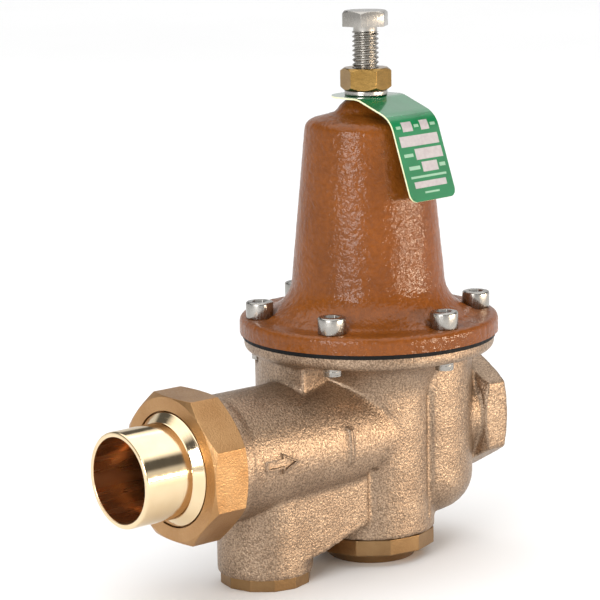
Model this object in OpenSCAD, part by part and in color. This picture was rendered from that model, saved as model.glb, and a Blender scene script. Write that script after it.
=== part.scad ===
// Spring-loaded water pressure reducing valve with a union inlet, a side strainer and a threaded outlet.
// Origin: on the adjusting screw's axis, in the plane that both lower plugs stand on.
// +X is the direction of flow, +Z points up along the adjusting screw. Millimetres.

/* [Pipe run] */
// Height of the pipe axis above the base
pipe_z = 46; // [45.5:0.5:46.5]
// Inside diameter of the solder cup
cup_id = 28.65; // [28.4:0.05:28.8]
// Outside diameter of the solder cup
cup_od = 32.2; // [31.8:0.1:33]
// Depth of the solder cup
cup_depth = 23; // [20:0.5:24]
// Distance from the valve axis to the mouth of the cup
inlet_reach = 108.6; // [106:0.2:114]
// Distance from the valve axis to the outlet face
outlet_reach = 47.6; // [46:0.2:52]
// Diameter of the outlet's thread, drawn as a plain bore
outlet_thread_d = 30.2; // [29:0.1:31]
// Size of the outlet's hexagon across its flats
outlet_af = 41.4; // [41:0.1:43]

/* [Union] */
// Size of the octagonal union nut across its flats
union_af = 48.8; // [48:0.1:52]
// Length of the union nut
union_len = 13.7; // [13.5:0.1:15]
// Diameter of the hole in the nut's face
union_hole_d = 39.2; // [38:0.1:40]
// Diameter of the union thread on the body
union_thread_d = 43.9; // [43.6:0.1:44]
// Distance from the valve axis to the end of the body's inlet
union_face = 80; // [79:0.5:82]

/* [Body casting] */
// Outside diameter of the inlet tube
tube_od = 43; // [42:0.2:43.4]
// Outside diameter of the column below the diaphragm bowl
column_od = 44.8; // [44.2:0.2:46]
// Outside diameter of the diaphragm bowl
bowl_od = 80; // [79:0.5:82]
// Distance from the valve axis to the middle of the outlet lobe
lobe_x = 18.8; // [18:0.2:20]
// Outside diameter of the outlet lobe
lobe_od = 44.6; // [44:0.2:45]
// Distance from the valve axis to the strainer axis
strainer_x = 48.4; // [47:0.2:50]
// Outside diameter of the strainer boss
strainer_od = 32.8; // [32.4:0.2:34]

/* [Diaphragm joint] */
// Outside diameter of the bell's flange
flange_od = 90.2; // [89:0.2:92]
// Height of the body's top face above the base
joint_z = 79; // [78.8:0.1:79.2]
// Thickness of the diaphragm
diaphragm_t = 1.6; // [1.2:0.1:1.8]
// Radius of the circle that the cap screws stand on
bolt_circle_r = 38.4; // [38:0.1:39]
// Number of cap screws
bolt_count = 6; // [6:6]

/* [Adjusting screw] */
// Diameter of the adjusting screw over its thread
screw_d = 9.2; // [8.8:0.1:9.5]
// Pitch of the adjusting screw's thread
screw_pitch = 1.5875; // [1.5875]
// Size of the screw's hexagon head across its flats
head_af = 14.3; // [14:0.1:14.5]
// Top of the screw's head above the base
screw_top = 191.3; // [190:0.1:193]
// Size of the lock nut across its flats
nut_af = 15.3; // [15:0.1:16]

/* [Tag] */
// Width of the hang tag
tag_w = 23; // [22:0.5:24]
// Thickness of the hang tag
tag_t = 0.8; // [0.6:0.1:0.9]

/* [Hidden] */

$fn = 64;
e = 0.5;                    // how far a cutter runs past a face
run = 0.05;                 // radial running clearance

bronze = "#be9b78";
bell_paint = "#a55a2d";
brass = "#b4824b";
light_brass = "#e1c8a0";
steel = "#b9b8b4";
rubber = "#202020";

// Heights
flange_t = 4.4;                         // body flange
bell_z = joint_z + diaphragm_t;         // underside of the bell
bell_flange_z = bell_z + 6;             // top of the bell's flange
bell_top_z = 156.4;
boss_top_z = 161.6;
nut_z = 164.3;
nut_h = 7.6;
gasket_t = 1.5;                         // union gasket
head_h = 5.3;
bolt_head_h = 5.7;
bolt_tip_z = joint_z - 6.8;
column_z = 10.2;                        // rim of the column
strainer_rim_z = 4.2;                   // rim of the strainer boss
bridge_z = 37;                          // underside of the seat bridge
bridge_t = 5;
seat_top_z = bridge_z + bridge_t;
screen_z = 13.2;                        // foot of the strainer's screen
ledge_z = 32;                           // ledge that closes the chamber round the top of the screen
plate_z = joint_z - 6;                  // underside of the diaphragm's flat middle, hanging 6 below its rim
plate_top_z = plate_z + diaphragm_t;    // where the pressure plate lies
stack_z = plate_top_z + 2;              // where the spring and the stem's nut stand
disc_z = 26;                            // underside of the disc
disc_t = 4.2;
button_z = 139.5;                       // where the spring ends under its button
seat_r = 11;                            // thread of the seat ring

// Radii
screw_r = screw_d / 2;
screw_hole_r = screw_r + run;
screw_tip_r = 3.2;
bolt_r = 3.1;
bolt_head_r = 4.76;
plug_thread_r = 19;
strainer_thread_r = 13.2;
upper_r = 17.5;                         // chambers above and below the seat
bowl_inner_r = 30;
strainer_inner_r = 12.6;
screen_r = 10.8;
passage_r = 13;                         // inlet bore
centre_r = 21.5;                        // flat middle of the diaphragm
stem_r = 3.5;
disc_r = 9.4;
guide_r = 3.4;                          // guide pin under the disc holder

// Outline points on an arc in the radius and height plane
function arc(c, r, a0, a1, n = 6) =
    [for (i = [0:n]) c + r * [cos(a0 + (a1 - a0) * i / n), sin(a0 + (a1 - a0) * i / n)]];

module along_x(x0, x1, r) {
    translate([x0, 0, pipe_z]) rotate([0, 90, 0]) cylinder(r = r, h = x1 - x0);
}

module ring(r_out, r_in, z0, z1) {
    translate([0, 0, z0]) difference() {
        cylinder(r = r_out, h = z1 - z0);
        translate([0, 0, -e]) cylinder(r = r_in, h = z1 - z0 + 2 * e);
    }
}

module at_bolts() {
    for (i = [0:bolt_count - 1])
        rotate([0, 0, 30 + i * 360 / bolt_count]) translate([bolt_circle_r, 0, 0]) children();
}

// A prism with `sides` flats, `af` across them, whose corners are turned off by `cut` at the ends asked for
module chamfered_prism(sides, af, h, cut, low = true, high = true) {
    corner = af / 2 / cos(180 / sides);
    flat_r = af / 2 - 0.2;
    intersection() {
        linear_extrude(h) circle(r = corner, $fn = sides);
        rotate_extrude() polygon([
            [0, 0],
            [low ? flat_r : corner + e, 0],
            [corner + e, low ? cut * (corner + e - flat_r) / (corner - flat_r) : 0],
            [corner + e, h - (high ? cut * (corner + e - flat_r) / (corner - flat_r) : 0)],
            [high ? flat_r : corner + e, h],
            [0, h]
        ]);
    }
}

// ---------------------------------------------------------------- body casting

// Flange under the diaphragm, flaring down into the column, and the wall that carries it over the inlet tube
module bowl_solid() {
    flange_r = flange_od / 2 - 1.5;
    under_z = joint_z - flange_t;
    column_r = column_od / 2;
    flare_r = 15;
    edge_r = 2.4;
    rotate_extrude() polygon(concat(
        [[0, joint_z], [flange_r, joint_z]],
        arc([flange_r - edge_r, under_z + edge_r], edge_r, 0, -90),
        arc([column_r + flare_r, under_z - flare_r], flare_r, 90, 180, 8),
        [[0, under_z - flare_r]]
    ));
    wall_from = 135;
    wall_sweep = 60;
    rotate([0, 0, wall_from]) rotate_extrude(angle = wall_sweep) polygon([
        [column_r, pipe_z + 12], [bowl_od / 2, pipe_z + 14],
        [bowl_od / 2, under_z + e], [column_r, under_z + e]
    ]);
}

// Lobe that leads the water round to the outlet: a round-bottomed upright barrel
module lobe_solid() {
    bottom = 13;
    top = joint_z - flange_t + e;
    round_r = 13.5;
    r = lobe_od / 2;
    translate([lobe_x, 0, 0]) rotate_extrude() polygon(concat(
        [[0, top], [0, bottom]],
        arc([r - round_r, bottom + round_r], round_r, -90, 0, 8),
        [[r, top]]
    ));
}

// Upright web between the strainer boss and the column, a little wider at the column
module web_solid() {
    intersection() {
        translate([0, 60, 0]) rotate([90, 0, 0]) linear_extrude(120) polygon([
            [-strainer_x, 8], [-41, 9.2], [-34.6, 10.4], [-26.6, 13.6], [-15, 17],
            [0, 19], [0, pipe_z], [-strainer_x, pipe_z]
        ]);
        linear_extrude(80) polygon([
            [-strainer_x - 4, -15.9], [0, -18.1], [0, 18.1], [-strainer_x - 4, 15.9]
        ]);
    }
}

// Raised outline of an arrow that points the way of the flow, on the front of the inlet tube
module flow_arrow() {
    middle_x = -58;
    half = 6.3;
    shaft = 1.5;
    head = 2.9;
    line_w = 0.55;
    module outline(shrink) {
        polygon([
            [-half + shrink, -shaft + shrink], [0.4 + shrink, -shaft + shrink],
            [0.4 + shrink, -head + 2 * shrink], [half - 2 * shrink, 0],
            [0.4 + shrink, head - 2 * shrink], [0.4 + shrink, shaft - shrink],
            [-half + shrink, shaft - shrink]
        ]);
    }
    raised(0.45) translate([middle_x, 0, pipe_z + 0.8]) rotate([90, 0, 0])
        linear_extrude(tube_od) difference() {
            outline(0);
            outline(line_w);
        }
}

// Plain raised casting mark beside the arrow
module casting_bar() {
    bar_x = -28.4;
    bar = [1.7, 12];
    raised(0.7) translate([bar_x, -tube_od, pipe_z - 5]) cube([bar[0], tube_od, bar[1]]);
}

// Keeps what stands out of the inlet tube by no more than `height`
module raised(height) {
    intersection() {
        along_x(-union_face + 9, 0, tube_od / 2 + height);
        children();
    }
}

module body_solid() {
    inlet_r = tube_od / 2;
    hexagon_l = 10.6;
    thread_l = 9;               // union thread past the tube's end
    neck_r = 18.6;              // neck between the lobe and the outlet's hexagon
    bowl_solid();
    lobe_solid();
    web_solid();
    translate([0, 0, column_z]) cylinder(r = column_od / 2, h = 50);
    translate([-strainer_x, 0, strainer_rim_z]) cylinder(r = strainer_od / 2, h = pipe_z - strainer_rim_z);
    along_x(-union_face + thread_l, 0, inlet_r);
    along_x(-union_face, -union_face + thread_l + 2, union_thread_d / 2);
    along_x(26, outlet_reach - 8, neck_r);
    translate([outlet_reach - hexagon_l, 0, pipe_z]) rotate([0, 90, 0])
        chamfered_prism(6, outlet_af, hexagon_l, 1.6);
    flow_arrow();
    casting_bar();
}

// Water passages and threaded holes, the threads as plain bores
module body_hollows() {
    chamber_z = 20;             // floor of the lower chamber
    lobe_hollow_r = 15.5;
    passage_z = 25;             // middle of the low passage from the strainer to the lower chamber
    groove_r = 1.7;
    // diaphragm chamber, dished to follow the diaphragm, and the upper chamber
    rotate_extrude() polygon([
        [0, seat_top_z], [upper_r, seat_top_z], [upper_r, plate_z - 5], [centre_r + 3, plate_z - 1.5],
        [bowl_inner_r, joint_z - 2.5], [bowl_inner_r, joint_z + e], [0, joint_z + e]
    ]);
    // seat hole, lower chamber, bottom plug thread
    translate([0, 0, chamber_z]) cylinder(r = seat_r, h = 25);
    translate([0, 0, chamber_z]) cylinder(r = upper_r, h = bridge_z - chamber_z);
    translate([0, 0, column_z - e]) cylinder(r = plug_thread_r, h = 14);
    // outlet passage over the bridge and down into the lobe, then the outlet thread
    difference() {
        translate([lobe_x - 4, 0, 24]) cylinder(r = lobe_hollow_r, h = 35);
        cylinder(r = column_od / 2 - 1.4, h = seat_top_z + 1);
    }
    along_x(27, outlet_reach + e, outlet_thread_d / 2);
    // inlet, strainer chamber with its ledge, and the low passage
    along_x(-union_face - e, -strainer_x + 11, passage_r);
    translate([-strainer_x, 0, strainer_rim_z - e]) cylinder(r = strainer_thread_r, h = 12);
    translate([-strainer_x, 0, 10]) cylinder(r = strainer_inner_r, h = ledge_z - 10);
    translate([-strainer_x, 0, ledge_z - e]) cylinder(r = screen_r + run, h = 12);
    translate([-strainer_x, 0, passage_z]) rotate([0, 90, 0]) linear_extrude(strainer_x - 12) {
        translate([0, 5]) circle(r = 6.5);
        translate([0, -5]) circle(r = 6.5);
        square([13, 10], center = true);
    }
    // cap screw holes
    at_bolts() translate([0, 0, bolt_tip_z - 1]) cylinder(r = bolt_r + run, h = 10);
    // grooves beside the column, where the web and the lobe run into it
    for (side = [-1, 1]) {
        translate([-15.3, side * 18.4, 12]) cylinder(r = groove_r, h = 24.5);
        translate([9.4, side * 21.3, 14]) cylinder(r = groove_r, h = 46);
    }
}

module body() {
    color(bronze) difference() {
        body_solid();
        body_hollows();
    }
}

// ---------------------------------------------------------------- bell housing

module bell_housing() {
    r = flange_od / 2;
    neck_foot = [26.5, 100];
    neck_head = [21.4, 151];
    shoulder_r = 3.7;
    wall = 3.8;
    outside = concat(
        [[0, bell_z], [r, bell_z]],
        arc([r - 1.8, bell_flange_z - 1.8], 1.8, 0, 90),
        [[37, bell_flange_z], [36.2, bell_flange_z + 0.9]],
        arc(neck_foot + [12.7, 0], 12.7, 256, 180, 10),
        arc(neck_head - [shoulder_r, 0], shoulder_r, 0, 80, 6),
        [[12, bell_top_z], [10.4, bell_top_z + 0.6], [9, 159.2], [6.2, boss_top_z], [0, boss_top_z]]
    );
    inside = concat(
        [[0, bell_z - e], [33.5, bell_z - e], [33.5, bell_z + 0.5], [bowl_inner_r, bell_z + 0.5]],
        [[bowl_inner_r, 84], [neck_foot[0] - wall, neck_foot[1] - 4]],
        [[neck_head[0] - wall, neck_head[1] - 1], [neck_head[0] - wall - 2, neck_head[1] + 1], [0, neck_head[1] + 1]]
    );
    color(bell_paint) difference() {
        rotate_extrude() polygon(outside);
        rotate_extrude() polygon(inside);
        translate([0, 0, 140]) cylinder(r = screw_hole_r, h = 30);
        at_bolts() translate([0, 0, bell_z - e]) cylinder(r = bolt_r + 0.25, h = 20);
        at_bolts() translate([0, 0, bell_flange_z]) cylinder(r = 5.8, h = 20);
    }
}

// Socket head cap screws, all six in one node
module cap_screws() {
    socket_r = 2.75;
    socket_depth = 3;
    color(steel) at_bolts() difference() {
        union() {
            translate([0, 0, bell_flange_z]) rotate_extrude() polygon(concat(
                [[0, 0], [bolt_head_r, 0]],
                arc([bolt_head_r - 0.7, bolt_head_h - 0.7], 0.7, 0, 90, 3),
                [[0, bolt_head_h]]
            ));
            translate([0, 0, bolt_tip_z]) cylinder(r = bolt_r, h = bell_flange_z + e - bolt_tip_z);
        }
        translate([0, 0, bell_flange_z + bolt_head_h - socket_depth])
            linear_extrude(socket_depth + e) circle(r = socket_r, $fn = 6);
    }
}

// ---------------------------------------------------------------- diaphragm and valve stem

// Rubber diaphragm: clamped rim, sloping convolution and a flat middle that hangs below the rim
module diaphragm() {
    r = flange_od / 2 - 1;
    convolution_r = bowl_inner_r - 1.2;
    color(rubber) difference() {
        rotate_extrude() polygon([
            [stem_r + run, plate_z], [centre_r, plate_z], [convolution_r, joint_z], [r, joint_z],
            [r, bell_z], [convolution_r - 0.6, bell_z], [centre_r - 0.6, plate_top_z],
            [stem_r + run, plate_top_z]
        ]);
        at_bolts() translate([0, 0, joint_z - e]) cylinder(r = bolt_r + 0.3, h = diaphragm_t + 2 * e);
    }
}

// Thin ring that lets the diaphragm slip against the bell
module slip_ring() {
    color("white") ring(33.4, bowl_inner_r + 0.1, bell_z, bell_z + 0.45);
}

// Pressure plate on the diaphragm that the spring stands on
module diaphragm_plate() {
    rim_r = centre_r - 1.2;
    color(steel) rotate_extrude() polygon([
        [stem_r + run, plate_top_z], [rim_r, plate_top_z], [rim_r, stack_z + 1.2],
        [rim_r - 1.4, stack_z + 1.2], [rim_r - 1.4, stack_z], [stem_r + run, stack_z]
    ]);
}

// Washer under the diaphragm
module diaphragm_washer() {
    washer_r = 17;
    washer_t = 2;
    color(brass) ring(washer_r, stem_r + run, plate_z - washer_t, plate_z);
}

module stem_nut() {
    color(steel) translate([0, 0, stack_z]) difference() {
        chamfered_prism(6, 11, 5, 0.7);
        translate([0, 0, -e]) cylinder(r = stem_r, h = 6);
    }
}

// Stem: hangs from the diaphragm, passes through the seat and carries the disc holder
module valve_stem() {
    top = stack_z + 8;
    color(light_brass) {
        translate([0, 0, disc_z - 2]) cylinder(r = stem_r - 0.5, h = top - disc_z + 2);
        translate([0, 0, 34]) cylinder(r = stem_r, h = top - 34);
        translate([0, 0, plate_z - 7]) cylinder(r = 5.5, h = 5);
    }
}

// Nut that clamps the disc in its holder
module disc_retainer() {
    color(brass) translate([0, 0, disc_z + disc_t]) difference() {
        chamfered_prism(6, 11, 3.2, 0.6);
        translate([0, 0, -e]) cylinder(r = stem_r - 0.5, h = 5);
    }
}

module valve_disc() {
    color(rubber) ring(disc_r, stem_r - 0.5, disc_z, disc_z + disc_t);
}

// Cup that holds the disc, with the pin that guides it in the bottom plug
module disc_holder() {
    color(brass) difference() {
        union() {
            translate([0, 0, disc_z - 4.5]) cylinder(r = disc_r + 1.2, h = 8);
            translate([0, 0, 11.5]) cylinder(r = guide_r, h = disc_z - 13);
        }
        translate([0, 0, disc_z]) cylinder(r = disc_r, h = disc_t);
        translate([0, 0, disc_z - 2]) cylinder(r = stem_r - 0.5, h = 3);
    }
}

// Renewable seat, screwed into the bridge from above, with the lip that the disc closes on
module seat_ring() {
    lip_z = bridge_z - 1.6;
    flange_z = seat_top_z + 0.6;
    color(light_brass) rotate_extrude() polygon([
        [8, lip_z], [8.8, lip_z], [9.6, bridge_z - 0.4], [seat_r - run, bridge_z - 0.4],
        [seat_r - run, flange_z], [14.4, flange_z], [14.4, flange_z + 2.2], [8, flange_z + 2.2]
    ]);
}

module seat_gasket() {
    color(rubber) ring(14.2, seat_r, seat_top_z, seat_top_z + 0.6);
}

// ---------------------------------------------------------------- plugs and strainer

// Plug under the column: a round foot, a twelve-sided flange and the guide for the disc holder
module bottom_plug() {
    foot_r = 17.4;
    flange_corner_r = 22.6;
    flange_low = 4.5;
    top = 22;
    color(brass) difference() {
        union() {
            rotate_extrude() polygon([
                [0, 0], [foot_r - 2.2, 0], [foot_r, flange_low - 1.2], [foot_r, flange_low + e],
                [0, flange_low + e]
            ]);
            translate([0, 0, flange_low]) rotate([0, 0, 5.7]) linear_extrude(column_z - flange_low)
                circle(r = flange_corner_r, $fn = 12);
            translate([0, 0, flange_low]) cylinder(r = plug_thread_r - run, h = top - flange_low);
        }
        ring(16, guide_r + 3.2, 13, top + e);
        translate([0, 0, 9]) cylinder(r = guide_r + 0.06, h = top);
        translate([0, 0, top - 2]) cylinder(r = 14, h = 4);
        ring(plug_thread_r + 2, plug_thread_r - 1.8, column_z + 0.8, column_z + 2.8);
    }
}

module bottom_plug_o_ring() {
    color(rubber) translate([0, 0, column_z + 1.8]) rotate_extrude()
        translate([plug_thread_r - 0.9, 0]) circle(r = 0.85, $fn = 24);
}

// Woven screen, open at the top where the inlet feeds it, standing in the strainer plug
module strainer_screen() {
    holes = 8;
    rows = 3;
    row_gap = 5;
    color(steel) translate([-strainer_x, 0, 0]) difference() {
        ring(screen_r, screen_r - 0.7, screen_z, ledge_z + 0.6);
        for (row = [0:rows - 1], i = [0:holes / 2 - 1])
            translate([0, 0, screen_z + 5.3 + row * row_gap]) rotate([90, 0, (i + row / 2) * 360 / holes])
                cylinder(r = 1.5, h = 30, center = true, $fn = 8);
    }
}

// Plug under the strainer boss with a twelve-sided flange and a cup for the screen
module strainer_plug() {
    flange_corner_r = 15.6;
    color(brass) translate([-strainer_x, 0, 0]) difference() {
        union() {
            rotate([0, 0, 1.8]) linear_extrude(strainer_rim_z) circle(r = flange_corner_r, $fn = 12);
            cylinder(r = strainer_inner_r - run, h = 16);
            cylinder(r = strainer_thread_r - run, h = 9.5);
        }
        translate([0, 0, screen_z]) cylinder(r = screen_r + run, h = 4);
        translate([0, 0, 7]) cylinder(r = 9, h = 8);
        ring(strainer_thread_r + 1, strainer_thread_r - 1.6, strainer_rim_z + 0.8, strainer_rim_z + 2.8);
    }
}

module strainer_plug_o_ring() {
    color(rubber) translate([-strainer_x, 0, strainer_rim_z + 1.8])
        rotate_extrude() translate([12.4, 0]) circle(r = 0.75, $fn = 24);
}

// ---------------------------------------------------------------- spring and adjusting screw

// Compression spring with closed ends, a round wire swept along a helix
module adjusting_spring() {
    wire_r = 1.8;
    coil_r = 14.6;
    low = stack_z + wire_r + 0.05;
    high = button_z - wire_r - 0.05;
    turns = 8;
    steps = 20;                 // rings of points in a turn
    sides = 8;
    count = turns * steps;
    end_rise = 2 * wire_r + 0.1;
    // height of the wire's middle: one closed turn at each end, even pitch between
    function wire_z(t) =
        t < 1 ? low + t * end_rise
        : t > turns - 1 ? high - (turns - t) * end_rise
        : low + end_rise + (t - 1) / (turns - 2) * (high - low - 2 * end_rise);
    function wire_point(i, j) =
        let (turn = i / steps, a = turn * 360, b = j * 360 / sides, r = coil_r + wire_r * cos(b))
        [r * cos(a), r * sin(a), wire_z(turn) + wire_r * sin(b)];
    points = [for (i = [0:count], j = [0:sides - 1]) wire_point(i, j)];
    walls = [for (i = [0:count - 1], j = [0:sides - 1])
        let (k = (j + 1) % sides)
        [i * sides + j, (i + 1) * sides + j, (i + 1) * sides + k, i * sides + k]];
    caps = [[for (j = [0:sides - 1]) j], [for (j = [sides - 1:-1:0]) count * sides + j]];
    color(steel) polyhedron(points, concat(walls, caps), convexity = 10);
}

// Upper spring seat that the adjusting screw presses on
module spring_button() {
    half_h = 5;
    spigot_r = 12.4;            // fits inside the spring
    rim_r = 16.6;
    color(steel) difference() {
        rotate_extrude() polygon([
            [0, button_z - half_h], [spigot_r - 1, button_z - half_h], [spigot_r, button_z - 3.5],
            [spigot_r, button_z], [rim_r, button_z], [rim_r, button_z + 3], [9, button_z + half_h],
            [0, button_z + half_h]
        ]);
        translate([0, 0, button_z + 2.5]) cylinder(r = screw_tip_r + 0.2, h = 4);
    }
}

module adjusting_screw() {
    head_z = screw_top - head_h;
    neck_z = head_z - 2;
    shank_z = button_z + 5.4;
    color(steel) {
        translate([0, 0, head_z]) rotate([0, 0, -21.6]) chamfered_prism(6, head_af, head_h, 0.9, low = false);
        translate([0, 0, neck_z]) cylinder(r = screw_r - 0.5, h = head_z - neck_z + e);
        translate([0, 0, shank_z]) cylinder(r = screw_r, h = neck_z - shank_z);
        translate([0, 0, button_z + 2.6]) cylinder(r = screw_tip_r, h = shank_z - button_z - 2);
    }
}

module lock_nut() {
    color(brass) translate([0, 0, nut_z]) difference() {
        rotate([0, 0, 12.7]) chamfered_prism(6, nut_af, nut_h, 1.1);
        translate([0, 0, -e]) cylinder(r = screw_hole_r, h = nut_h + 2 * e);
    }
}

module seal_washer() {
    washer_r = 7.4;
    color("gainsboro") ring(washer_r, screw_r + 0.3, boss_top_z + tag_t + 0.1, nut_z);
}

// Bent tag: a flat end under the lock nut, a slope down over the bell's shoulder, then a hanging end
module hang_tag() {
    top = boss_top_z + 0.05 + tag_t;
    outline = [[-12, top], [6.7, top], [21.6, top - 5.8], [31, top - 34]];
    under = [[30.2, top - 34.3], [21, top - 6.5], [6.4, top - tag_t], [-12, top - tag_t]];
    color("seagreen") rotate([0, 0, 6.4 - 90]) difference() {
        intersection() {
            translate([0, tag_w / 2, 0]) rotate([90, 0, 0]) linear_extrude(tag_w) polygon(concat(outline, under));
            translate([0, 0, 120]) linear_extrude(60) union() {
                circle(r = tag_w / 2);
                translate([0, -tag_w / 2]) square([40, tag_w]);
            }
        }
        translate([0, 0, 150]) cylinder(r = screw_r + 0.4, h = 20);
    }
}

// ---------------------------------------------------------------- union

// Octagonal union nut: thread towards the body, a lip that holds the tailpiece's collar
module union_nut() {
    front = -inlet_reach + 20.85;
    lip = 2.5;
    color(brass) difference() {
        translate([front, 0, pipe_z]) rotate([0, 90, 0]) rotate([0, 0, 23.6])
            chamfered_prism(8, union_af, union_len, 1.3);
        along_x(front - e, front + union_len, union_hole_d / 2);
        along_x(front + lip, front + union_len + e, union_thread_d / 2 + 0.08);
    }
}

// Solder tailpiece: cup, flared shoulder and the collar that the union nut pulls against the gasket
module union_tailpiece() {
    mouth = -inlet_reach;
    collar_l = 3.7;
    collar_x = -union_face - gasket_t - collar_l;
    shoulder_x = mouth + 18.6;
    flare_l = 2;
    neck_r = union_hole_d / 2 - 0.4;        // fills the hole of the union nut
    color(light_brass) difference() {
        union() {
            along_x(mouth, collar_x + 1, cup_od / 2);
            translate([shoulder_x, 0, pipe_z]) rotate([0, 90, 0])
                cylinder(r1 = cup_od / 2 + 1.15, r2 = neck_r, h = flare_l);
            along_x(shoulder_x + flare_l, collar_x + 1, neck_r);
            along_x(collar_x, collar_x + collar_l, union_thread_d / 2 - 0.4);
        }
        along_x(mouth - e, mouth + cup_depth, cup_id / 2);
        along_x(mouth, 0, passage_r - 0.3);
    }
}

module union_gasket() {
    color("saddlebrown") difference() {
        along_x(-union_face - gasket_t, -union_face, 20.8);
        along_x(-union_face - gasket_t - e, -union_face + e, passage_r);
    }
}

body();
bell_housing();
cap_screws();
diaphragm();
slip_ring();
diaphragm_plate();
diaphragm_washer();
stem_nut();
valve_stem();
disc_retainer();
valve_disc();
disc_holder();
seat_ring();
seat_gasket();
bottom_plug();
bottom_plug_o_ring();
strainer_screen();
strainer_plug();
strainer_plug_o_ring();
adjusting_spring();
spring_button();
adjusting_screw();
lock_nut();
seal_washer();
hang_tag();
union_nut();
union_tailpiece();
union_gasket();
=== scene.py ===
"""The looks of a water pressure reducing valve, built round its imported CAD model."""
import math

import bmesh
import bpy
import numpy as np
from mathutils import Matrix, Vector


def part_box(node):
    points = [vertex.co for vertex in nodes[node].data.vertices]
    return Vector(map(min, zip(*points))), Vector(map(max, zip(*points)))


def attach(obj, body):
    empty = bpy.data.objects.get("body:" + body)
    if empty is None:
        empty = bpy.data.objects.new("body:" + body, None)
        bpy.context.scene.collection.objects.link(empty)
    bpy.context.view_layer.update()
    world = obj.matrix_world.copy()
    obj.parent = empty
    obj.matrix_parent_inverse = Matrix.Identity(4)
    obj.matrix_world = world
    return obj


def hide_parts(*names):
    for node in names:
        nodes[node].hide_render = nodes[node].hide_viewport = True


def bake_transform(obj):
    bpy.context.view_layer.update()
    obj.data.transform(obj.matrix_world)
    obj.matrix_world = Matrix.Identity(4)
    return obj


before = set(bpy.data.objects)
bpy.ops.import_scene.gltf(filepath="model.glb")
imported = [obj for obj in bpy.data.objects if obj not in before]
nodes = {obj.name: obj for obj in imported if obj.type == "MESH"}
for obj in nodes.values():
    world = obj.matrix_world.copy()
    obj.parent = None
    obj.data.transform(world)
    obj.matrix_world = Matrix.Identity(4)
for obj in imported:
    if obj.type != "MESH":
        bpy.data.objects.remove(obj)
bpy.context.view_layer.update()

MM = 0.001


# ------------------------------------------------------------ camera

AZIMUTH = math.radians(-39.62)
ELEVATION = math.radians(10.95)
ROLL = math.radians(-1.01)
DISTANCE = 0.8361
LENS = 144.0
AIM_ASIDE = -0.02385    # the camera looks this far along its own level from the bell's axis
AIM_HEIGHT = 0.0912


def add_camera():
    """A long lens, a little above the valve, off to its inlet's side and slightly rolled."""
    forward = Vector((
        -math.sin(AZIMUTH) * math.cos(ELEVATION),
        math.cos(AZIMUTH) * math.cos(ELEVATION),
        -math.sin(ELEVATION),
    ))
    level = Vector((math.cos(AZIMUTH), math.sin(AZIMUTH), 0))
    aim = level * AIM_ASIDE + Vector((0, 0, AIM_HEIGHT))
    rise = level.cross(forward)
    right = level * math.cos(ROLL) + rise * math.sin(ROLL)
    up = rise * math.cos(ROLL) - level * math.sin(ROLL)
    data = bpy.data.cameras.new("camera")
    data.lens = LENS
    data.sensor_width = 36
    data.clip_end = 20
    camera = bpy.data.objects.new("camera", data)
    bpy.context.scene.collection.objects.link(camera)
    turn = Matrix((right, up, -forward)).transposed().to_4x4()
    camera.matrix_world = Matrix.Translation(aim - forward * DISTANCE) @ turn
    bpy.context.scene.camera = camera


# ------------------------------------------------------------ materials

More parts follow.
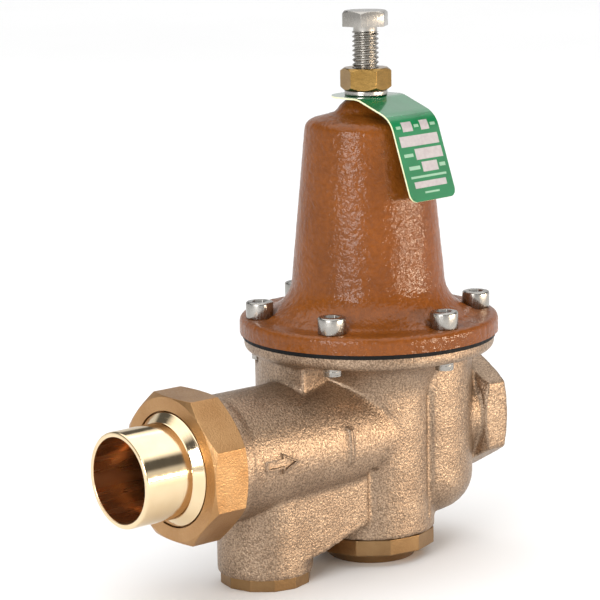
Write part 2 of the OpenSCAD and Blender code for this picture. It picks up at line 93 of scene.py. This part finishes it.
class Look:
    """A node material: one Principled shader and short ways to add the usual nodes."""

    def __init__(self, name, color, metallic=0.0, roughness=0.4, coat=0.0, coat_roughness=0.05):
        self.mat = bpy.data.materials.new(name)
        self.mat.use_nodes = True
        self.tree = self.mat.node_tree
        self.shader = self.tree.nodes["Principled BSDF"]
        self.set("Base Color", (*color, 1))
        self.set("Metallic", metallic)
        self.set("Roughness", roughness)
        self.set("Coat Weight", coat)
        self.set("Coat Roughness", coat_roughness)
        self.mat.diffuse_color = (*color, 1)
        self.where = self.add("ShaderNodeTexCoord").outputs["Object"]
        self.normal = None

    def set(self, socket, value):
        self.shader.inputs[socket].default_value = value

    def add(self, kind, **inputs):
        node = self.tree.nodes.new(kind)
        for key, value in inputs.items():
            self.put(value, node.inputs[key.replace("_", " ")])
        return node

    def put(self, value, socket):
        if isinstance(value, bpy.types.NodeSocket):
            self.tree.links.new(value, socket)
        else:
            socket.default_value = value

    def noise(self, size, detail=3.0, rough=0.5, stretch=None):
        """Noise whose lumps are about `size` metres across."""
        where = self.where
        if stretch:
            scaled = self.add("ShaderNodeVectorMath")
            scaled.operation = "MULTIPLY"
            self.put(where, scaled.inputs[0])
            self.put(stretch, scaled.inputs[1])
            where = scaled.outputs[0]
        node = self.add("ShaderNodeTexNoise", Vector=where, Scale=1 / size, Detail=detail, Roughness=rough)
        return node.outputs["Fac"]

    def ramp(self, value, *stops):
        """Colour ramp through (place, colour) stops."""
        node = self.add("ShaderNodeValToRGB", Fac=value)
        points = node.color_ramp.elements
        while len(points) < len(stops):
            points.new(0.5)
        for point, (place, color) in zip(points, stops):
            point.position = place
            point.color = (*color, 1)
        return node.outputs["Color"]

    def span(self, value, low, high, to_low, to_high):
        node = self.add("ShaderNodeMapRange", Value=value)
        for place, number in zip((1, 2, 3, 4), (low, high, to_low, to_high)):
            node.inputs[place].default_value = number
        return node.outputs["Result"]

    def mix(self, factor, a, b, mode="MIX"):
        node = self.tree.nodes.new("ShaderNodeMix")
        node.data_type = "RGBA"
        node.blend_type = mode
        self.put(factor, node.inputs[0])
        self.put(a if isinstance(a, bpy.types.NodeSocket) else (*a, 1), node.inputs[6])
        self.put(b if isinstance(b, bpy.types.NodeSocket) else (*b, 1), node.inputs[7])
        return node.outputs[2]

    def math(self, operation, a, b):
        node = self.tree.nodes.new("ShaderNodeMath")
        node.operation = operation
        self.put(a, node.inputs[0])
        self.put(b, node.inputs[1])
        return node.outputs[0]

    def bump(self, height, depth):
        """Adds relief `depth` metres deep over any relief already there, on the coat too."""
        node = self.add("ShaderNodeBump", Height=height, Distance=depth, Strength=1.0)
        if self.normal:
            self.put(self.normal, node.inputs["Normal"])
        self.normal = node.outputs["Normal"]
        self.put(self.normal, self.shader.inputs["Normal"])
        self.put(self.normal, self.shader.inputs["Coat Normal"])

    def use(self, socket, value):
        self.put(value, self.shader.inputs[socket])


def cast_bronze():
    """Shot blasted bronze casting: tan with a fine bright and dark sand grain, whose bright specks are
    painted glints.
    """
    look = Look("cast_bronze", (0.32, 0.225, 0.15), metallic=0.9)
    tone = look.ramp(look.noise(0.012, 4), (0.3, (0.27, 0.192, 0.134)), (0.7, (0.35, 0.256, 0.181)))
    # Sand grain in the colour; its bright specks, above the base colour, are painted glints of the blasted
    # surface's sparkle
    grain = look.ramp(look.noise(0.0006, 1.5), (0.36, (0.66, 0.635, 0.61)), (0.66, (1.35, 1.35, 1.33)))
    look.use("Base Color", look.mix(1.0, tone, grain, "MULTIPLY"))
    look.use("Roughness", look.span(look.noise(0.0009, 2), 0.3, 0.7, 0.32, 0.52))
    look.bump(look.noise(0.0055, 3), 0.00026)
    look.bump(look.noise(0.00075, 2, 0.6), 0.00024)
    return look.mat


def bell_paint():
    """Glossy brown coat over a coarse casting, so the edges of highlights break into lumps."""
    look = Look("bell_paint", (0.21, 0.058, 0.01), roughness=0.5, coat=0.5, coat_roughness=0.08)
    look.set("Specular IOR Level", 0.05)
    tone = look.ramp(look.noise(0.022, 2), (0.3, (0.165, 0.046, 0.005)), (0.7, (0.21, 0.060, 0.007)))
    lumps = look.ramp(look.noise(0.0018, 2), (0.35, (0.88, 0.87, 0.86)), (0.7, (1.08, 1.08, 1.08)))
    look.use("Base Color", look.mix(1.0, tone, lumps, "MULTIPLY"))
    look.bump(look.noise(0.0035, 2), 0.00030)
    look.bump(look.noise(0.0014, 2, 0.6), 0.00030)
    return look.mat


def machined(name, color, dark, rough=0.26, axis=(1, 1, 1), line=0.0006, depth=0.00003):
    """Turned or milled metal: faint tool lines across `axis`, a little uneven in tone."""
    look = Look(name, color, metallic=1.0)
    look.use("Base Color", look.ramp(look.noise(0.009, 4), (0.3, dark), (0.7, color)))
    lines = look.noise(line, 2, stretch=axis)
    look.use("Roughness", look.span(lines, 0.3, 0.7, rough - 0.05, rough + 0.07))
    look.bump(lines, depth)
    return look.mat


def rubber():
    look = Look("rubber", (0.006, 0.006, 0.006), roughness=0.6)
    look.set("Specular IOR Level", 0.15)
    look.use("Roughness", look.span(look.noise(0.002), 0.3, 0.7, 0.5, 0.72))
    look.bump(look.noise(0.0006, 2), 0.00004)
    return look.mat


def plastic(name, color):
    look = Look(name, color, roughness=0.35)
    look.use("Base Color", look.ramp(look.noise(0.003), (0.3, tuple(c * 0.9 for c in color)), (0.7, color)))
    look.bump(look.noise(0.001, 2), 0.00003)
    return look.mat


def fibre():
    look = Look("fibre", (0.19, 0.075, 0.03), roughness=0.8)
    tone = look.ramp(look.noise(0.0012, 5), (0.3, (0.13, 0.05, 0.02)), (0.7, (0.24, 0.10, 0.04)))
    look.use("Base Color", tone)
    look.bump(look.noise(0.0005, 4), 0.00008)
    return look.mat


# Printed blocks on the tag: (from, to) along its length and (from, to) across it, as shares of both
TAG_BLOCKS = [
    (0.563, 0.618, 0.20, 0.42),
    (0.563, 0.618, 0.60, 0.78),
    (0.642, 0.700, 0.08, 0.92),
    (0.716, 0.776, 0.34, 0.93),
    (0.790, 0.844, 0.42, 0.76),
    (0.893, 0.928, 0.16, 0.86),
]
TAG_BARS = [
    (0.583, 0.600, 0.07, 0.17),
    (0.583, 0.600, 0.46, 0.56),
    (0.583, 0.600, 0.82, 0.93),
    (0.738, 0.756, 0.09, 0.29),
    (0.807, 0.827, 0.13, 0.37),
    (0.807, 0.827, 0.80, 0.93),
    (0.862, 0.874, 0.12, 0.90),
    (0.950, 0.960, 0.34, 0.66),
]
BAR_STRENGTH = 0.55


def tag_print():
    """Glossy green tag with blank white blocks and thin bars for its fields."""
    look = Look("tag_print", (0.0, 0.16, 0.05), roughness=0.25, coat=1.0, coat_roughness=0.05)
    place = look.tree.nodes.new("ShaderNodeUVMap")
    place.uv_map = "print"
    split = look.add("ShaderNodeSeparateXYZ", Vector=place.outputs["UV"])
    along, across = split.outputs["X"], split.outputs["Y"]

    def inside(value, low, high):
        above, below = look.math("GREATER_THAN", value, low), look.math("LESS_THAN", value, high)
        return look.math("MULTIPLY", above, below)

    def mask(blocks):
        total = 0.0
        for low, high, left, right in blocks:
            block = look.math("MULTIPLY", inside(along, low, high), inside(across, left, right))
            total = look.math("MAXIMUM", block, total)
        return total

    green = look.ramp(look.noise(0.01), (0.3, (0.0, 0.135, 0.04)), (0.7, (0.0, 0.17, 0.055)))
    paper = look.ramp(look.noise(0.0015), (0.3, (0.38, 0.35, 0.365)), (0.7, (0.45, 0.42, 0.435)))
    printed = look.mix(mask(TAG_BLOCKS), green, paper)
    bars = look.math("MULTIPLY", mask(TAG_BARS), BAR_STRENGTH)
    look.use("Base Color", look.mix(bars, printed, (0.45, 0.66, 0.52)))
    look.bump(look.noise(0.012, 1), 0.00012)
    return look.mat


def tag_edge():
    look = Look("tag_edge", (0.80, 0.82, 0.52), roughness=0.4)
    tone = look.ramp(look.noise(0.002), (0.3, (0.70, 0.74, 0.42)), (0.7, (0.86, 0.86, 0.60)))
    look.use("Base Color", tone)
    return look.mat


# ------------------------------------------------------------ mesh helpers

WELD = 0.001 * MM
FLAT = math.radians(0.5)    # faces that turn less than this count as one flat


def new_object(name, mesh, mat, *more_mats):
    obj = bpy.data.objects.new(name, mesh)
    bpy.context.scene.collection.objects.link(obj)
    mesh.materials.clear()
    for m in (mat, *more_mats):
        mesh.materials.append(m)
    return obj


def bake_modifiers(obj):
    """Leaves the mesh as its modifiers show it."""
    graph = bpy.context.evaluated_depsgraph_get()
    shown = bpy.data.meshes.new_from_object(obj.evaluated_get(graph))
    obj.modifiers.clear()
    old = obj.data
    obj.data = shown
    bpy.data.meshes.remove(old)
    return obj


def mesh_from(bm, name):
    mesh = bpy.data.meshes.new(name)
    bm.to_mesh(mesh)
    bm.free()
    return mesh


def smooth(obj, angle):
    """Shades smooth, with edges that turn by more than `angle` degrees left sharp."""
    obj.data.shade_smooth()
    obj.data.set_sharp_from_angle(angle=math.radians(angle))
    return obj


def cad_copy(node, mat, name=None):
    """A copy of a CAD node's mesh, welded, its flats made single faces."""
    bm = bmesh.new()
    bm.from_mesh(nodes[node].data)
    bmesh.ops.remove_doubles(bm, verts=bm.verts, dist=WELD)
    bmesh.ops.dissolve_limit(bm, angle_limit=FLAT, verts=bm.verts, edges=bm.edges)
    name = name or node + "_look"
    return new_object(name, mesh_from(bm, name), mat)


def stand_for(obj, node, body):
    """Shows this object in place of a CAD node."""
    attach(obj, body)
    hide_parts(node)


def break_edges(obj, width, angle):
    """Bevels the edges that turn by more than `angle` degrees."""
    bevel = obj.modifiers.new("edge", "BEVEL")
    bevel.width = width
    bevel.segments = 2
    bevel.limit_method = "ANGLE"
    bevel.angle_limit = math.radians(angle)
    return bake_modifiers(obj)


def edged(node, mat, width, body):
    """A copy of a CAD node with its sharp edges broken and its flats left crisp."""
    obj = smooth(break_edges(cad_copy(node, mat), width, 25), 8)
    stand_for(obj, node, body)


def relax(mesh, rounds, fill_rounds):
    """Smooths a voxel mesh: evenly for a few rounds, then only hollow creases, which fill to fillets.

    Each round takes every point half way to the mean of its neighbours. The normals that tell a hollow
    from a ridge are measured again every few rounds.
    """
    share, normals_every = 0.5, 5
    count = len(mesh.vertices)
    co = np.empty(count * 3)
    mesh.vertices.foreach_get("co", co)
    co = co.reshape(-1, 3)
    ends = np.empty(len(mesh.edges) * 2, int)
    mesh.edges.foreach_get("vertices", ends)
    a, b = ends[0::2], ends[1::2]
    degree = np.bincount(a, minlength=count) + np.bincount(b, minlength=count)
    normals = np.empty(count * 3)
    for turn in range(rounds + fill_rounds):
        total = np.stack([
            np.bincount(a, co[b, k], count) + np.bincount(b, co[a, k], count) for k in range(3)
        ], 1)
        pull = total / degree[:, None] - co
        if turn >= rounds:
            if (turn - rounds) % normals_every == 0:
                mesh.vertices.foreach_set("co", co.ravel())
                mesh.update()
                mesh.vertex_normals.foreach_get("vector", normals)
            out = (pull * normals.reshape(-1, 3)).sum(1)
            pull *= (out > 0)[:, None]
        co += share * pull
    mesh.vertices.foreach_set("co", co.ravel())
    mesh.update()


def casting(node, voxel, rounds, fill_rounds, mat, face, lump=0.0, lump_size=0.0):
    """A CAD node as a sand casting: remeshed finely, its creases filled, its skin slightly lumpy.

    `face` is its machined face: its height, and 1 if the metal lies below it or -1 if above. The metal is
    made to run past it and is cut off again, which leaves the rim crisp.
    """
    height, side = face
    spare, same_height, reach = 3 * MM, 0.01 * MM, 100 * MM
    obj = cad_copy(node, mat)
    for vertex in obj.data.vertices:
        if abs(vertex.co.z - height) < same_height:
            vertex.co.z += side * spare
    remesh = obj.modifiers.new("grain", "REMESH")
    remesh.mode = "VOXEL"
    remesh.voxel_size = voxel
    bake_modifiers(obj)
    relax(obj.data, rounds, fill_rounds)
    if lump:
        texture = bpy.data.textures.new(node + "_lumps", "CLOUDS")
        texture.noise_scale = lump_size
        texture.noise_depth = 1
        swell = obj.modifiers.new("lumps", "DISPLACE")
        swell.texture = texture
        swell.texture_coords = "LOCAL"
        swell.strength = lump
        swell.mid_level = 0.75    # mostly inward, so the skin stays inside the CAD's box
        bake_modifiers(obj)
    bpy.ops.mesh.primitive_cube_add(size=2 * reach, location=(0, 0, height + side * reach))
    cut(obj, bpy.context.object)
    obj.data.materials.clear()
    obj.data.materials.append(mat)
    return smooth(obj, 50)


def cut(obj, cutter):
    """Takes the cutter out of the object, and away."""
    step = obj.modifiers.new("cut", "BOOLEAN")
    step.object = cutter
    step.operation = "DIFFERENCE"
    step.solver = "MANIFOLD"
    bake_modifiers(obj)
    bpy.data.objects.remove(cutter)


def lathe(name, profile, mat, axis="Z", origin=(0, 0, 0), sides=160):
    """Turns (radius, height) points about an axis. A profile that ends off the axis closes on itself."""
    on_axis = 0.0001 * MM
    bm = bmesh.new()
    rings = []
    for radius, height in profile:
        if radius < on_axis:
            rings.append([bm.verts.new((0, 0, height))])
        else:
            rings.append([
                bm.verts.new((radius * math.cos(t), radius * math.sin(t), height))
                for t in (2 * math.pi * i / sides for i in range(sides))
            ])
    pairs = list(zip(rings, rings[1:]))
    if len(rings[0]) > 1:
        pairs.append((rings[-1], rings[0]))
    for low, high in pairs:
        for i in range(sides):
            j = (i + 1) % sides
            corners = [low[i % len(low)], low[j % len(low)], high[j % len(high)], high[i % len(high)]]
            bm.faces.new(list(dict.fromkeys(corners)))
    bmesh.ops.recalc_face_normals(bm, faces=bm.faces)
    mesh = mesh_from(bm, name)
    turn = Matrix.Rotation(math.radians(-90), 4, "Y") if axis == "-X" else Matrix.Identity(4)
    mesh.transform(Matrix.Translation(origin) @ turn)
    return smooth(new_object(name, mesh, mat), 38)


def rounded(points, steps=5):
    """Outline from (radius, height, fillet) corners, each rounded by its fillet."""
    path = []
    count = len(points)
    for i, (x, y, fillet) in enumerate(points):
        here = Vector((x, y))
        back = Vector(points[i - 1][:2]) - here
        ahead = Vector(points[(i + 1) % count][:2]) - here
        if fillet <= 0:
            path.append((x, y))
            continue
        half = back.angle(ahead) / 2
        reach = min(fillet / math.tan(half), back.length * 0.49, ahead.length * 0.49)
        start = here + back.normalized() * reach
        end = here + ahead.normalized() * reach
        for k in range(steps + 1):
            t = k / steps
            path.append(tuple(start * (1 - t) ** 2 + here * 2 * t * (1 - t) + end * t ** 2))
    return path


def threaded_rod(name, radius, pitch, low, high, depth, chamfer, mat, sides):
    """A rod with a right-hand thread from `low` to `high`, its low end chamfered below the root."""
    rings_per_turn = 12
    crest, flanks = 0.14, 0.72    # shares of half a pitch; the rest is the root
    tip_slope = 1.2
    count = round((high - low) / pitch * rings_per_turn)
    verts, faces = [], []
    for i in range(count + 1):
        z = low + (high - low) * i / count
        for k in range(sides):
            turn = k / sides
            phase = (z / pitch - turn) % 1
            dip = min(1, max(0, (abs(2 * phase - 1) - crest) / flanks))
            r = radius - depth * dip
            r = min(r, radius - depth - chamfer + (z - low) * tip_slope)
            verts.append((r * math.cos(turn * 2 * math.pi), r * math.sin(turn * 2 * math.pi), z))
    for i in range(count):
        for k in range(sides):
            j = (k + 1) % sides
            faces.append((i * sides + k, i * sides + j, (i + 1) * sides + j, (i + 1) * sides + k))
    faces.append(tuple(range(sides - 1, -1, -1)))
    faces.append(tuple(count * sides + k for k in range(sides)))
    mesh = bpy.data.meshes.new(name)
    mesh.from_pydata(verts, [], faces)
    return smooth(new_object(name, mesh, mat), 50)


# ------------------------------------------------------------ pieces

def ridge(name, path, width, height, closed, mat):
    """A raised line of the casting on the front of the inlet tube.

    `path` is in mm: along x, and up from the tube's axis.
    """
    tube_r, sunk = 21.5 * MM, 0.4 * MM
    crown = 0.55    # the top's share of the width
    sharpest = 0.4    # holds back the width at a corner
    low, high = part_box("union_tailpiece")
    axis_z = (low.z + high.z) / 2
    points = [Vector(p) * MM for p in path]
    count = len(points)
    bm = bmesh.new()
    rings = []
    for i, here in enumerate(points):
        back = points[i - 1] if closed or i else here * 2 - points[i + 1]
        ahead = points[(i + 1) % count] if closed or i < count - 1 else here * 2 - points[i - 1]
        before, after = (here - back).normalized(), (ahead - here).normalized()
        side = Vector((-(before + after).y, (before + after).x)).normalized()
        side *= width / 2 / max(sharpest, side.dot(Vector((-before.y, before.x))))
        corners = [
            (here - side, -sunk), (here - side * crown, height),
            (here + side * crown, height), (here + side, -sunk),
        ]
        rings.append([
            bm.verts.new((p.x, -math.sqrt((tube_r + rise) ** 2 - p.y ** 2), axis_z + p.y))
            for p, rise in corners
        ])
    pairs = list(zip(rings, rings[1:]))
    if closed:
        pairs.append((rings[-1], rings[0]))
    else:
        bm.faces.new(rings[0])
        bm.faces.new(rings[-1])
    for a, b in pairs:
        for k in range(4):
            bm.faces.new((a[k], b[k], b[k - 1], a[k - 1]))
    bmesh.ops.recalc_face_normals(bm, faces=bm.faces)
    obj = smooth(new_object(name, mesh_from(bm, name), mat), 80)
    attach(obj, "valve")


def body_casting(mat):
    """Body, with the flow arrow's outline and a plain bar cast on the front of its inlet tube."""
    joint_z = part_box("body")[1].z    # the machined face under the diaphragm
    obj = casting("body", 0.7 * MM, 1, 5, mat, (joint_z, 1))
    stand_for(obj, "body", "valve")
    tail_x, head_x, tip_x, middle = -64.4, -57.5, -51.7, 0.7
    shaft, head = 1.3, 2.9
    arrow = [
        (tail_x, middle - shaft), (head_x, middle - shaft), (head_x, middle - head), (tip_x, middle),
        (head_x, middle + head), (head_x, middle + shaft), (tail_x, middle + shaft),
    ]
    ridge("flow_arrow", arrow, 1.0 * MM, 1.1 * MM, True, mat)
    bar = [(-27.5, -5 + step) for step in range(13)]
    ridge("casting_bar", bar, 2.2 * MM, 1.3 * MM, False, mat)


def bell_casting(mat):
    joint_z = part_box("bell_housing")[0].z
    obj = casting("bell_housing", 0.75 * MM, 2, 6, mat, (joint_z, -1), 0.2 * MM, 2 * MM)
    stand_for(obj, "bell_housing", "valve")


def cap_screw_set(mat):
    """Socket heads from the CAD node, with threaded tips showing under the body's flange."""
    low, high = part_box("cap_screws")
    heads = cad_copy("cap_screws", mat)
    smooth(break_edges(heads, 0.25 * MM, 40), 35)
    stand_for(heads, "cap_screws", "valve")
    thread_r, pitch, depth, chamfer, head_r = 3.17 * MM, 1.27 * MM, 0.5 * MM, 0.3 * MM, 4.76 * MM
    tip_low = low.z - 0.1 * MM
    tip_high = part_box("diaphragm")[1].z - 5.5 * MM    # inside the body's flange
    circle_r = high.y - head_r
    for i in range(6):
        a = math.radians(30 + 60 * i)
        name = f"cap_screw_tip_{i + 1}"
        tip = threaded_rod(name, thread_r, pitch, tip_low, tip_high, depth, chamfer, mat, 40)
        tip.data.transform(Matrix.Translation((circle_r * math.cos(a), circle_r * math.sin(a), 0)))
        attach(tip, "valve")


def screw(mat):
    """Adjusting screw: the CAD head and neck, and a real thread below them."""
    low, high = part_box("adjusting_screw")
    neck_z = high.z - 7.3 * MM
    thread_r, pitch, depth, chamfer = 4.55 * MM, 1.5875 * MM, 0.78 * MM, 0.2 * MM
    tip_low, thread_high = low.z + 3 * MM, neck_z + 0.3 * MM
    head = cad_copy("adjusting_screw", mat, "adjusting_screw_head")
    bm = bmesh.new()
    bm.from_mesh(head.data)
    everything = bm.verts[:] + bm.edges[:] + bm.faces[:]
    bmesh.ops.bisect_plane(
        bm, geom=everything, plane_co=(0, 0, neck_z), plane_no=(0, 0, 1), clear_inner=True,
    )
    bm.to_mesh(head.data)
    bm.free()
    smooth(break_edges(head, 0.3 * MM, 25), 40)
    stand_for(head, "adjusting_screw", "screw")
    name = "adjusting_screw_thread"
    thread = threaded_rod(name, thread_r, pitch, tip_low, thread_high, depth, chamfer, mat, 72)
    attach(thread, "screw")


def tailpiece(mat, bore_shade_mat):
    """Polished solder tailpiece, turned about the pipe's axis; its bore takes a darker, redder brass of
    painted shade and inter-reflection.
    """
    low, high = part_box("union_tailpiece")
    cup_r, wall_r, bore_r = 14.325 * MM, 16.1 * MM, 12.7 * MM
    neck_r = 19.15 * MM
    collar_r = (high - low).z / 2
    long = (high - low).x
    outline = [
        (cup_r, long, 0.4 * MM), (wall_r, long, 0.9 * MM), (wall_r, long - 18.2 * MM, 0.7 * MM),
        (neck_r, long - 20.9 * MM, 0.8 * MM), (neck_r, 3.9 * MM, 0.3 * MM),
        (collar_r - 0.4 * MM, 3.7 * MM, 0.3 * MM), (collar_r, 3.2 * MM, 0.3 * MM), (collar_r, 0, 0.3 * MM),
        (bore_r, 0, 0.3 * MM), (bore_r, long - 23.4 * MM, 0.4 * MM), (cup_r, long - 23 * MM, 0.3 * MM),
    ]
    axis_z = (low.z + high.z) / 2
    obj = lathe("tailpiece_look", rounded(outline), mat, "-X", (high.x, 0, axis_z), 192)
    obj.data.materials.append(bore_shade_mat)
    # Faces inside the cup and bore take the painted-shade brass
    inside_r = cup_r + 0.05 * MM
    for face in obj.data.polygons:
        if math.hypot(face.center.y, face.center.z - axis_z) < inside_r:
            face.material_index = 1
    stand_for(obj, "union_tailpiece", "tailpiece")


def washer(mat):
    low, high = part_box("seal_washer")
    outer, inner = high.x, 4.9 * MM
    rim, lip = 0.45 * MM, 0.1 * MM
    outline = [(inner, low.z, lip), (outer, low.z, rim), (outer, high.z, rim), (inner, high.z, lip)]
    obj = lathe("seal_washer_look", rounded(outline), mat, sides=96)
    stand_for(obj, "seal_washer", "washer")


def tag(face_mat, edge_mat):
    """The hang tag: a thin sheet that bends twice, with rounded ends and a hole for the screw."""
    thick = 0.6 * MM
    width = 23 * MM
    heading = math.radians(-83.6)
    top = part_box("hang_tag")[1].z
    corners = [    # (out from the screw, height from the top, radius of the bend)
        (-12 * MM, 0, 0), (6.4 * MM, 0, 9 * MM),
        (21.4 * MM, -5.9 * MM, 9.5 * MM), (30.7 * MM, -33.4 * MM, 0),
    ]
    bent = rounded(corners, 10)
    bent_h, bent_z = [p[0] for p in bent], [p[1] for p in bent]
    along = [0.0]
    for (x0, z0), (x1, z1) in zip(bent, bent[1:]):
        along.append(along[-1] + math.hypot(x1 - x0, z1 - z0))
    length = along[-1]
    rows, columns = 160, 40
    gather = 0.06    # draws the rows a little towards the sheet's ends
    sliver = 0.02 * MM    # keeps the end rows from closing to a point
    end_r, corner_r = width / 2, 3 * MM

    def half_width(s):
        if s < end_r:
            return math.sqrt(max(0, end_r ** 2 - (end_r - s) ** 2))
        left = length - s
        if left < corner_r:
            return width / 2 - corner_r + math.sqrt(max(0, corner_r ** 2 - (corner_r - left) ** 2))
        return width / 2

    bm = bmesh.new()
    print_uv = bm.loops.layers.uv.new("print")
    grid = []
    for i in range(rows + 1):
        t = i / rows
        s = length * (t + gather * math.sin(-2 * math.pi * t))
        s = min(max(s, sliver), length - sliver)
        h, z = np.interp(s, along, bent_h), np.interp(s, along, bent_z)
        half = half_width(s)
        row = []
        for k in range(columns + 1):
            w = half * (2 * k / columns - 1)
            row.append((bm.verts.new((h, w, z + top)), s / length, w / width + 0.5))
        grid.append(row)
    for a, b in zip(grid, grid[1:]):
        for k in range(columns):
            quad = (a[k], b[k], b[k + 1], a[k + 1])
            face = bm.faces.new([q[0] for q in quad])
            for loop, q in zip(face.loops, quad):
                loop[print_uv].uv = (q[1], q[2])
    bmesh.ops.recalc_face_normals(bm, faces=bm.faces)
    if sum(f.normal.z for f in bm.faces) < 0:
        bmesh.ops.reverse_faces(bm, faces=bm.faces)
    obj = new_object("hang_tag_look", mesh_from(bm, "hang_tag_look"), face_mat, edge_mat)
    body = obj.modifiers.new("thickness", "SOLIDIFY")
    body.thickness = thick
    body.offset = -1
    body.material_offset_rim = 1
    bake_modifiers(obj)
    hole_r, reach = 5.1 * MM, 5 * MM
    hole = [(0, top - reach), (hole_r, top - reach), (hole_r, top + reach), (0, top + reach)]
    cut(obj, lathe("hole", hole, edge_mat))
    obj.data.transform(Matrix.Rotation(heading, 4, "Z"))
    smooth(obj, 50)
    stand_for(obj, "hang_tag", "tag")


def spring(mat):
    """A smooth-shaded copy of the CAD's spring, fixed in place; the real spring shortens with the button's
    travel.
    """
    obj = smooth(cad_copy("adjusting_spring", mat), 60)
    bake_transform(obj)
    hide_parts("adjusting_spring")


def diaphragm(mat):
    """A smooth-shaded copy of the CAD's diaphragm, fixed in place; the real one is clamped at its rim
    between the flanges and its middle moves with the stem.
    """
    obj = smooth(cad_copy("diaphragm", mat), 30)
    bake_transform(obj)
    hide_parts("diaphragm")


# ------------------------------------------------------------ stage

def add_floor():
    look = Look("floor", (0.9, 0.9, 0.9), roughness=0.8)
    look.use("Base Color", look.ramp(look.noise(0.5), (0.3, (0.89, 0.89, 0.89)), (0.7, (0.91, 0.91, 0.91))))
    bpy.ops.mesh.primitive_plane_add(size=12, location=(0, 0, 0))
    floor = bpy.context.object
    floor.name = "floor"
    floor.data.materials.append(look.mat)


def add_light(name, place, size, power, aim=(-0.02, 0, 0.09), color=(1.0, 1.0, 1.0)):
    data = bpy.data.lights.new(name, "AREA")
    data.color = color
    data.shape = "RECTANGLE"
    data.size, data.size_y = size
    data.energy = power
    light = bpy.data.objects.new(name, data)
    bpy.context.scene.collection.objects.link(light)
    light.location = place
    light.rotation_euler = (Vector(aim) - Vector(place)).to_track_quat("-Z", "Y").to_euler()


# Brightness of the surroundings by the sine of the height above the horizon
SKY = [(0.0, 0.42), (0.3, 0.40), (0.4, 0.06), (0.62, 0.06), (0.74, 1.0)]
SKY_STRENGTH = 1.85


def add_world():
    """White overhead light over a dark band and a pale horizon, so that bright metal shows bands."""
    world = bpy.data.worlds.new("studio")
    bpy.context.scene.world = world
    world.use_nodes = True
    tree = world.node_tree
    split = tree.nodes.new("ShaderNodeSeparateXYZ")
    tree.links.new(tree.nodes.new("ShaderNodeTexCoord").outputs["Generated"], split.inputs[0])
    sky = tree.nodes.new("ShaderNodeValToRGB")
    points = sky.color_ramp.elements
    while len(points) < len(SKY):
        points.new(0.5)
    for point, (place, level) in zip(points, SKY):
        point.position = place
        point.color = (level, level, level, 1)
    tree.links.new(split.outputs["Z"], sky.inputs["Fac"])
    back = tree.nodes["Background"]
    back.inputs["Strength"].default_value = SKY_STRENGTH
    tree.links.new(sky.outputs["Color"], back.inputs["Color"])


add_camera()
add_floor()
add_world()
add_light("key", (-1.13, -0.42, 0.42), (0.6, 0.45), 8)
add_light("panel", (0.56, -1.06, 0.13), (1.1, 0.075), 11, (0, 0, 0.12), (1.0, 0.82, 0.62))
add_light("back", (1.0, 0.68, 0.98), (0.8, 0.8), 1.5)
bpy.context.scene.view_settings.view_transform = "Standard"

bronze = cast_bronze()
paint = bell_paint()
union_brass = machined(
    "union_brass", (0.47, 0.275, 0.125), (0.38, 0.205, 0.085), 0.36, depth=0.00013)
plug_brass = machined(
    "plug_brass", (0.31, 0.19, 0.09), (0.23, 0.135, 0.06), 0.34, line=0.0007, depth=0.00006)
tail_brass = machined(
    "tail_brass", (0.86, 0.69, 0.45), (0.80, 0.62, 0.38), 0.1, (1, 0.05, 0.05), 0.0005, 0.000008)
# Bore of the tailpiece: the tail's brass painted darker and redder, as painted shade and inter-reflection
# inside the tube
bore_brass_painted_shade = machined(
    "bore_brass_painted_shade", (0.76, 0.47, 0.25), (0.66, 0.38, 0.19), 0.26, (0.1, 1, 1), 0.003, 0.00001)
nut_brass = machined(
    "nut_brass", (0.32, 0.195, 0.06), (0.23, 0.13, 0.035), 0.2, (0.2, 0.2, 1), 0.0006, 0.00003)
inner_brass = machined("inner_brass", (0.62, 0.43, 0.2), (0.55, 0.36, 0.15), 0.25)
steel = machined(
    "stainless", (0.43, 0.41, 0.38), (0.31, 0.295, 0.27), 0.24, (1, 1, 0.3), 0.0008, 0.00003)
dark_steel = machined("spring_steel", (0.2, 0.2, 0.21), (0.14, 0.14, 0.15), 0.35)
black = rubber()
white = plastic("ring_white", (0.62, 0.62, 0.60))
card = fibre()

body_casting(bronze)
bell_casting(paint)
cap_screw_set(steel)
screw(steel)
tailpiece(tail_brass, bore_brass_painted_shade)
washer(steel)
tag(tag_print(), tag_edge())
spring(dark_steel)
diaphragm(black)
edged("union_nut", union_brass, 0.45 * MM, "union_nut")
edged("lock_nut", nut_brass, 0.25 * MM, "lock_nut")
edged("bottom_plug", plug_brass, 0.4 * MM, "valve")
edged("strainer_plug", plug_brass, 0.4 * MM, "valve")

# The pieces inside keep their CAD shape
for node, mat in {
    "slip_ring": white, "spring_button": dark_steel,
    "diaphragm_plate": dark_steel, "diaphragm_washer": inner_brass, "stem_nut": steel,
    "valve_stem": inner_brass, "disc_retainer": inner_brass, "disc_holder": inner_brass, "valve_disc": black,
    "seat_ring": inner_brass, "seat_gasket": black,
    "bottom_plug_o_ring": black, "strainer_plug_o_ring": black,
    "strainer_screen": steel, "union_gasket": card,
}.items():
    nodes[node].data.materials.clear()
    nodes[node].data.materials.append(mat)
    smooth(nodes[node], 35)
